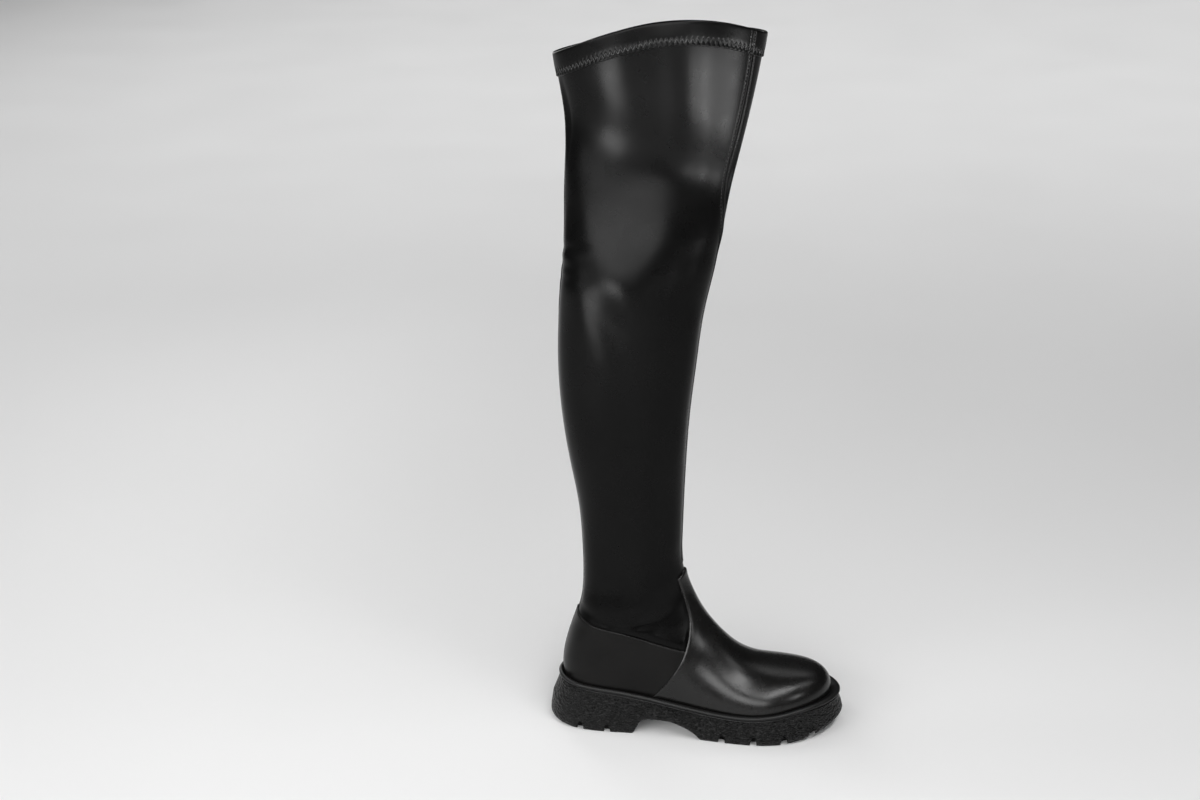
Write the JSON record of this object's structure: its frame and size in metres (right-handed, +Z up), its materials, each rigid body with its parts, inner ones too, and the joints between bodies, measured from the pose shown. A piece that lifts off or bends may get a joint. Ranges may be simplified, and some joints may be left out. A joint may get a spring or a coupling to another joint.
{
  "type": "over-the-knee stretch boot",
  "caption": "Right-foot over-the-knee stretch boot: long hollow shaft, leather vamp and heel counter, thick lugged rubber sole, inner-side zip with a swinging pull tab.",
  "frame": {"origin": "on the floor under the middle of the boot's outer box", "axes": "+X to the toe, +Y to the inner (medial) side, +Z up the leg"},
  "size_m": [0.2826, 0.1126, 0.6722],
  "materials": {
    "sole_rubber": "matt black rubber with a pebbled wall",
    "welt_rubber": "smooth satin black rubber",
    "insole_board": "dark grey fabric over board",
    "stretch": "satin black stretch coated cloth",
    "smooth_leather": "smooth semi-gloss black leather",
    "zip_tape": "black woven tape and coil",
    "zip_metal": "gunmetal"
  },
  "bodies": {
    "boot": {"outsole": "sole_rubber", "welt": "welt_rubber", "insole": "insole_board", "upper": "stretch", "vamp": "smooth_leather", "counter": "smooth_leather", "collar_band": "stretch", "zip_chain": "zip_tape", "zip_slider": "zip_metal"},
    "pull_tab": {"zip_pull": "zip_metal"}
  },
  "joints": [
    {"name": "pull_swing", "type": "hinge", "parent": "boot", "child": "pull_tab", "pos_m": [-0.06841, 0.03769, 0.29596], "axis": [0.9991, 0.0023, 0.0418], "range_deg": [0, 165]}
  ]
}
